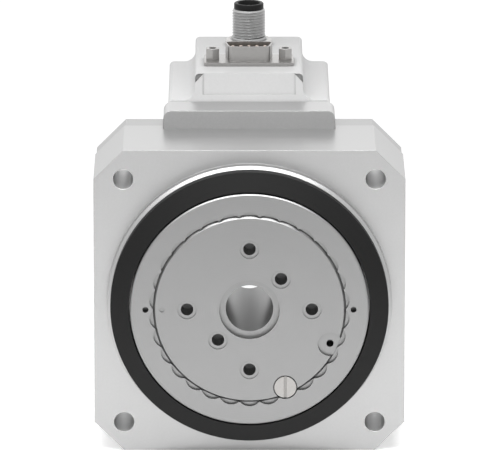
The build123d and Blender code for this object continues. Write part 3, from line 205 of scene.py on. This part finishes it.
def surface(name, colour, rough, metallic=0.0, mottle=0.04, grain=900.0, stretch=(1, 1, 1),
            relief=0.05, edge=0.15, coat=0.0, specular=0.5, gap_shade=0.0, reach=1.5):
    """Cast, painted, moulded or plated finish with a fine grain. It can also carry painted shade in gaps.
    """
    material, tree, shader = new_material(name)
    shader.inputs["Metallic"].default_value = metallic
    shader.inputs["Coat Weight"].default_value = coat
    shader.inputs["Specular IOR Level"].default_value = specular
    vector = coordinates(tree, tuple(grain * s for s in stretch))
    noise = add_node(tree, "ShaderNodeTexNoise", Scale=1.0, Detail=3.0)
    tree.links.new(vector, noise.inputs["Vector"])
    vary(tree, shader, noise.outputs["Fac"], colour, rough, mottle, gap_shade, reach)
    relieve(tree, shader, noise.outputs["Fac"], relief, edge)
    return material


def turned_metal(name, colour, rough, mottle=0.03, relief=0.04, edge=0.15, gap_shade=0.0, reach=4.0):
    """Metal faced on a lathe: fine rings round the output axis. It can also carry painted shade in gaps.
    """
    material, tree, shader = new_material(name)
    shader.inputs["Metallic"].default_value = 1.0
    where = tree.nodes.new("ShaderNodeTexCoord")
    split = tree.nodes.new("ShaderNodeSeparateXYZ")
    tree.links.new(where.outputs["Object"], split.inputs["Vector"])
    flat = tree.nodes.new("ShaderNodeCombineXYZ")
    tree.links.new(split.outputs["X"], flat.inputs["X"])
    tree.links.new(split.outputs["Z"], flat.inputs["Y"])
    radius = add_node(tree, "ShaderNodeVectorMath", operation="LENGTH")
    tree.links.new(flat.outputs["Vector"], radius.inputs[0])
    noise = add_node(tree, "ShaderNodeTexNoise", noise_dimensions="1D", Scale=lathe_rings, Detail=2.0)
    tree.links.new(radius.outputs["Value"], noise.inputs["W"])
    vary(tree, shader, noise.outputs["Fac"], colour, rough, mottle, gap_shade, reach)
    relieve(tree, shader, noise.outputs["Fac"], relief, edge)
    return material


def paint_hole_light(material, place, reach, colour):
    """Paints light on the walls of the four holes at (+-place, +-place) mm in X and Z: a lighter colour
    that stands in for the light falling on them.
    """
    tree = material.node_tree
    shader = tree.nodes["Principled BSDF"]
    where = tree.nodes.new("ShaderNodeTexCoord")
    flat = add_node(tree, "ShaderNodeVectorMath", operation="MULTIPLY")
    flat.inputs[1].default_value = (1, 0, 1)
    tree.links.new(where.outputs["Object"], flat.inputs[0])
    mirrored = add_node(tree, "ShaderNodeVectorMath", operation="ABSOLUTE")
    tree.links.new(flat.outputs["Vector"], mirrored.inputs[0])
    away = add_node(tree, "ShaderNodeVectorMath", operation="DISTANCE")
    away.inputs[1].default_value = (place * MM, 0, place * MM)
    tree.links.new(mirrored.outputs["Vector"], away.inputs[0])
    inside = add_node(tree, "ShaderNodeMath", operation="LESS_THAN")
    inside.inputs[1].default_value = reach * MM
    tree.links.new(away.outputs["Value"], inside.inputs[0])
    blend = add_node(tree, "ShaderNodeMix", data_type="RGBA")
    blend_in = {socket.identifier: socket for socket in blend.inputs}
    blend_out = {socket.identifier: socket for socket in blend.outputs}
    base = shader.inputs["Base Color"]
    tree.links.new(inside.outputs["Value"], blend_in["Factor_Float"])
    tree.links.new(base.links[0].from_socket, blend_in["A_Color"])
    blend_in["B_Color"].default_value = colour
    tree.links.new(blend_out["Result_Color"], base)


# The hood, plate, ring, plug and thread finishes carry painted shade in their gaps
finish = {
    "housing": surface(
        "housing_satin", grey(0.425), 0.36, metallic=0.85, mottle=0.02, grain=1400, edge=0.3),
    "cover": surface(
        "cover_satin", grey(0.37), 0.38, metallic=0.85, mottle=0.02, grain=1400, edge=0.3),
    "plate": surface(
        "motor_plate_satin", grey(0.45), 0.36, metallic=0.85, mottle=0.03, grain=1400, edge=0.4),
    "hood": surface(
        "hood_paint", grey(0.67), 0.5, mottle=0.015, grain=1200, edge=0.3, relief=0.08, gap_shade=0.7),
    "rotor": turned_metal("plate_turned", grey(0.255), 0.36, edge=0.05, gap_shade=0.12),
    "ring": turned_metal("ring_turned", grey(0.255), 0.34, edge=0.05, gap_shade=0.12),
    "plug": surface(
        "plug_steel", grey(0.335, 0.03), 0.36, metallic=1.0, mottle=0.05, grain=2500, gap_shade=0.4),
    "black": surface(
        "black_ring", grey(0.006), 0.5, mottle=0.2, grain=2600, relief=0.2, specular=0.2),
    "black_plastic": surface(
        "carrier_plastic", grey(0.005), 0.45, mottle=0.2, grain=2600, specular=0.22),
    "bearing": surface("bearing_steel", grey(0.58), 0.2, metallic=1.0, mottle=0.02, grain=3000),
    "cage": surface("cage_steel", grey(0.45, 0.08), 0.35, metallic=1.0, mottle=0.05, grain=2000),
    "dark_steel": surface("dark_steel", grey(0.10), 0.35, metallic=0.8, mottle=0.1, grain=2500),
    "gear": surface("gear_steel", grey(0.42), 0.3, metallic=1.0, mottle=0.04, grain=2000),
    "bell": surface("bell_aluminium", grey(0.5), 0.38, metallic=0.9, mottle=0.03, grain=1500),
    "stator": surface(
        "stator_laminated", grey(0.12), 0.5, metallic=0.5, mottle=0.3, grain=300, stretch=(0.2, 14, 0.2)),
    "copper": surface(
        "copper_wire", (0.5, 0.17, 0.05, 1), 0.35, metallic=0.8, mottle=0.25, grain=900,
        stretch=(4, 0.3, 4)),
    "board": surface("board_mask", (0.01, 0.10, 0.04, 1), 0.35, mottle=0.2, grain=800, coat=0.3),
    "chip": surface("chip_moulded", grey(0.015), 0.55, mottle=0.2, grain=2500),
    "brass": surface(
        "brass_turned", (0.55, 0.40, 0.14, 1), 0.3, metallic=1.0, mottle=0.05, grain=2000),
    "tin": surface("tin_plated", grey(0.37, 0.02), 0.34, metallic=0.95, mottle=0.04, grain=2500),
    "insulator": surface(
        "insulator_moulded", (0.030, 0.011, 0.007, 1), 0.7, mottle=0.2, grain=2500, specular=0.05),
    "contact": surface(
        "contact_plated", (1.0, 0.84, 0.74, 1), 0.3, metallic=0.4, mottle=0.04, grain=2500),
    "zinc": surface(
        "thread_plated", grey(0.48), 0.5, metallic=0.95, mottle=0.04, grain=2200, edge=0.05, gap_shade=0.5),
    "liner": surface("liner_moulded", grey(0.45), 0.5, mottle=0.05, grain=2000),
    "light": surface("m12_light", grey(0.62, 0.02), 0.4, metallic=0.3, mottle=0.03, grain=2000),
}
# Painted light: the walls of the four corner holes get a light grey in place of the light that falls on
# them
paint_hole_light(finish["housing"], mount_hole_at, hole_light_reach, grey(0.85))

wearers = {
    "housing": ["housing_body"],
    "cover": ["rear_cover"],
    "plate": ["motor_plate"],
    "hood": ["hood"],
    "rotor": ["rotary_plate"],
    "ring": ["index_ring"],
    "plug": ["lock_plug"],
    "black": ["cover_ring"],
    "black_plastic": ["m12_insert"],
    "bearing": [
        "main_outer_race", "main_inner_race", "main_balls", "rear_outer_race", "rear_inner_race",
        "rear_balls", "motor_outer_races", "motor_inner_races", "motor_balls", "motor_shaft", "tie_rods"],
    "cage": ["main_cage", "rear_cage", "motor_cages"],
    "dark_steel": [
        "housing_clip", "shaft_clip", "cover_screws", "plate_screws", "motor_screws", "encoder_screws",
        "hood_screws", "board_screws", "gear_screws", "set_screw"],
    "gear": ["clamp_ring", "output_gear", "pinion"],
    "bell": ["front_bell", "rear_bell"],
    "stator": ["stator_core", "magnet_rotor"],
    "copper": ["coils"],
    "board": ["encoder_board", "connector_board"],
    "chip": ["encoder_sensor", "driver_chip", "encoder_disc"],
    "brass": ["encoder_spacers"],
    "tin": ["dsub_shell", "jackscrews", "jack_nuts"],
    "insulator": ["dsub_insulator"],
    "contact": ["dsub_pins", "m12_pins"],
    "zinc": ["m12_body"],
    "light": ["m12_base", "m12_nut"],
}
for finish_name, names in wearers.items():
    for name in names:
        materials = nodes[name].data.materials
        materials.clear()
        materials.append(finish[finish_name])


def add_piece(name, points, faces, body, finish_name):
    """Closed mesh piece that rides on a body."""
    mesh = bpy.data.meshes.new(name)
    mesh.from_pydata(points, [], faces)
    mesh.shade_smooth()
    mesh.set_sharp_from_angle(angle=sharp_angle)
    mesh.materials.append(finish[finish_name])
    piece = bpy.data.objects.new(name, mesh)
    bpy.context.scene.collection.objects.link(piece)
    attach(piece, body)
    return piece


def turned(profile_at, centre_x, centre_y, closed, steps=round_steps, first=0):
    """Points and faces turned round an upright axis.
    profile_at gives (radius, height) points in mm at an angle. A closed profile makes a ring, and an
    open one starts and ends on the axis. Both run up on the outside. first numbers the first point."""
    points = []
    faces = []
    for step in range(steps):
        angle = 2 * math.pi * step / steps
        profile = profile_at(angle)
        off_axis = profile if closed else profile[1:-1]
        for radius, height in off_axis:
            points.append((
                centre_x + radius * MM * math.cos(angle),
                centre_y + radius * MM * math.sin(angle),
                height * MM))
    count = len(points) // steps
    start_pole = first + len(points)
    end_pole = start_pole + 1
    if not closed:
        points.append((centre_x, centre_y, profile[0][1] * MM))
        points.append((centre_x, centre_y, profile[-1][1] * MM))
    for step in range(steps):
        here = first + step * count
        ahead = first + (step + 1) % steps * count
        for point in range(count if closed else count - 1):
            following = (point + 1) % count
            faces.append((here + point, ahead + point, ahead + following, here + following))
        if not closed:
            faces.append((here, start_pole, ahead))
            faces.append((here + count - 1, ahead + count - 1, end_pole))
    return points, faces


# M12 connector: threaded body, contact carrier and contacts
m12_low, m12_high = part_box("m12_body")
m12_x = (m12_low.x + m12_high.x) / 2
m12_y = (m12_low.y + m12_high.y) / 2
m12_bottom = m12_low.z / MM
m12_tail_r = (m12_high.x - m12_low.x) / 2 / MM
m12_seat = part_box("m12_base")[1].z / MM
m12_top = m12_high.z / MM - m12_drop
m12_rim_top = m12_top + m12_rim_h
m12_pin_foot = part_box("m12_pins")[0].z / MM
thread_start = m12_seat + m12_collar_h
thread_rows = round((m12_top - thread_start) / m12_pitch * thread_steps)


def m12_body_profile(angle):
    """Tail, collar and thread of the connector body at one angle."""
    collar_foot = m12_seat - m12_sink
    points = [
        (m12_bore_r, m12_top), (m12_bore_r, m12_bottom), (m12_tail_r, m12_bottom),
        (m12_tail_r, collar_foot), (m12_collar_r, collar_foot),
        (m12_collar_r, thread_start - m12_collar_chamfer),
        (m12_collar_r - m12_collar_chamfer, thread_start)]
    for row in range(thread_rows + 1):
        height = thread_start + (m12_top - thread_start) * row / thread_rows
        turn = (height / m12_pitch - angle / (2 * math.pi)) % 1.0
        groove = 1 - abs(2 * turn - 1)
        radius = m12_crest_r - m12_thread_depth * min(1.0, m12_thread_slope * groove)
        end_limit = m12_crest_r - m12_thread_chamfer + (m12_top - height)
        points.append((min(radius, end_limit), height))
    return points


def m12_carrier_profile(angle):
    """Foot, black rim and socket of the contact carrier at one angle, with its key at the front."""
    from_front = abs((angle + math.pi / 2 + math.pi) % (2 * math.pi) - math.pi)
    wall = m12_rim_inner_r - m12_lip_w
    if from_front < m12_key_half_w / m12_rim_inner_r:
        wall -= m12_key_t
    floor = m12_rim_top - m12_socket_depth
    foot = m12_bore_r - m12_foot_gap
    return [
        (0, m12_bottom), (foot, m12_bottom), (foot, m12_top),
        (m12_rim_r, m12_top), (m12_rim_r, m12_rim_top - m12_rim_round),
        (m12_rim_r - m12_rim_round, m12_rim_top), (m12_rim_inner_r, m12_rim_top),
        (wall, m12_rim_top - m12_lip_h), (wall, floor), (0, floor)]


def m12_pin_profile(angle):
    """Contact with a rounded tip, the same at every angle."""
    tip = m12_rim_top - m12_pin_drop
    round_points = [
        (m12_pin_r * math.cos(math.radians(lift)), tip - m12_pin_r * (1 - math.sin(math.radians(lift))))
        for lift in m12_pin_tip]
    return [(0, m12_pin_foot), (m12_pin_r, m12_pin_foot)] + round_points + [(0, tip)]


points, faces = turned(m12_body_profile, m12_x, m12_y, closed=True)
thread_piece = add_piece("m12_threaded_body", points, faces, "housing", "zinc")
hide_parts("m12_body")

points, faces = turned(m12_carrier_profile, m12_x, m12_y, closed=False)
carrier_piece = add_piece("m12_contact_carrier", points, faces, "housing", "black_plastic")
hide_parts("m12_insert")

points = []
faces = []
for pin in range(m12_pin_count):
    angle = math.radians(m12_first_pin + 360 * pin / m12_pin_count)
    pin_x = m12_x + m12_pin_pitch_r * MM * math.cos(angle)
    pin_y = m12_y + m12_pin_pitch_r * MM * math.sin(angle)
    pin_points, pin_faces = turned(
        m12_pin_profile, pin_x, pin_y, closed=False, steps=pin_steps, first=len(points))
    points += pin_points
    faces += pin_faces
pins_piece = add_piece("m12_contacts", points, faces, "housing", "contact")
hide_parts("m12_pins")

# Hood: its two closing pieces
hood_low, hood_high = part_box("hood")
window_top = hood_high.z / MM - window_wall
liner_front = hood_low.y / MM + tower_front + liner_inset


def corner_liner(side, first):
    """Points and faces of the closing piece in the left (-1) or right (1) corner.
    first numbers the first point."""
    corner_x = tower_half_w - window_wall
    outline = [(corner_x, window_top - window_cut)]
    for step in range(corner_steps + 1):
        angle = math.pi / 2 * step / corner_steps
        outline.append((
            corner_x - window_corner * (1 - math.cos(angle)),
            window_top - window_corner * (1 - math.sin(angle))))
    outline.append((corner_x - window_cut, window_top))
    if side < 0:
        outline = [(-x, z) for x, z in reversed(outline)]
    points = [
        (x * MM, depth * MM, z * MM)
        for depth in (liner_front, liner_front + liner_t)
        for x, z in outline]
    count = len(outline)
    front = [first + point for point in range(count)]
    back = [first + count + point for point in range(count)]
    faces = [front, back[::-1]]
    for point in range(count):
        following = (point + 1) % count
        faces.append([front[point], back[point], back[following], front[following]])
    return points, faces


points, faces = corner_liner(-1, 0)
right_points, right_faces = corner_liner(1, len(points))
add_piece(
    "hood_corner_liners", points + right_points, faces + right_faces, "housing", "liner")


def background_rays(tree, strength):
    """strength for what the camera sees directly, mirrored or through an opening, and 0 for the rest."""
    rays = tree.nodes.new("ShaderNodeLightPath")
    mirrored = add_node(tree, "ShaderNodeMath", operation="MAXIMUM")
    seen = add_node(tree, "ShaderNodeMath", operation="MAXIMUM")
    amount = add_node(tree, "ShaderNodeMath", operation="MULTIPLY")
    amount.inputs[1].default_value = strength
    tree.links.new(rays.outputs["Is Glossy Ray"], mirrored.inputs[0])
    tree.links.new(rays.outputs["Is Transmission Ray"], mirrored.inputs[1])
    tree.links.new(rays.outputs["Is Camera Ray"], seen.inputs[0])
    tree.links.new(mirrored.outputs["Value"], seen.inputs[1])
    tree.links.new(seen.outputs["Value"], amount.inputs[0])
    return amount.outputs["Value"]


# Floor
floor_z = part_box("housing_body")[0].z - floor_drop * MM
bpy.ops.mesh.primitive_plane_add(size=floor_size, location=(0, 0, floor_z))
floor = bpy.context.object
floor.name = "floor"
floor_material, floor_tree, floor_shader = new_material("floor_pale")
floor_shader.inputs["Base Color"].default_value = grey(floor_white)
floor_shader.inputs["Roughness"].default_value = floor_rough
floor_shader.inputs["Specular IOR Level"].default_value = 0.0
floor_shader.inputs["Emission Color"].default_value = (1, 1, 1, 1)
floor_tree.links.new(background_rays(floor_tree, floor_glow), floor_shader.inputs["Emission Strength"])
floor.data.materials.append(floor_material)


def soft_light(name, place, width, height, power, target=scene_middle, spread=180):
    """Rectangular area light that looks at a point. power is in watts, spread is its beam in degrees."""
    data = bpy.data.lights.new(name, "AREA")
    data.shape = "RECTANGLE"
    data.size = width
    data.size_y = height
    data.energy = power
    data.spread = math.radians(spread)
    lamp = bpy.data.objects.new(name, data)
    bpy.context.scene.collection.objects.link(lamp)
    lamp.visible_camera = False
    lamp.location = place
    lamp.rotation_euler = (target - Vector(place)).to_track_quat("-Z", "Y").to_euler()


# The front lamp lights the floor before the housing, which the lower part of its face mirrors
soft_light("key", (-0.9, -0.5, 1.2), width=0.9, height=0.9, power=3.0)
soft_light("top", (0.0, 0.3, 1.3), width=1.2, height=1.2, power=2.5)
soft_light("front", (0.0, -0.13, 0.30), width=0.4, height=0.10, power=0.6,
           target=Vector((0, -0.13, -0.05)), spread=100)
soft_light("back", (0.0, 1.0, 0.32), width=1.4, height=0.45, power=1.1)

# White background for the camera, for reflections and through openings, dimmer light on the rest
world = bpy.data.worlds.new("studio")
bpy.context.scene.world = world
world.use_nodes = True
tree = world.node_tree
tree.nodes.clear()
white = add_node(tree, "ShaderNodeBackground", Color=(1, 1, 1, 1), Strength=1.0)
dim = add_node(tree, "ShaderNodeBackground", Color=(1, 1, 1, 1), Strength=ambient)
mix = tree.nodes.new("ShaderNodeMixShader")
out = tree.nodes.new("ShaderNodeOutputWorld")
tree.links.new(background_rays(tree, 1.0), mix.inputs["Fac"])
tree.links.new(dim.outputs["Background"], mix.inputs[1])
tree.links.new(white.outputs["Background"], mix.inputs[2])
tree.links.new(mix.outputs["Shader"], out.inputs["Surface"])

bpy.context.scene.view_settings.view_transform = "Standard"

# Camera
camera_data = bpy.data.cameras.new("camera")
camera_data.lens = camera_lens
camera_data.clip_end = camera_reach
camera = bpy.data.objects.new("camera", camera_data)
bpy.context.scene.collection.objects.link(camera)
forward = Vector((
    math.sin(look_right) * math.cos(look_down),
    math.cos(look_right) * math.cos(look_down),
    -math.sin(look_down)))
camera.location = camera_aim - forward * camera_distance
camera.rotation_euler = forward.to_track_quat("-Z", "Y").to_euler()
bpy.context.scene.camera = camera
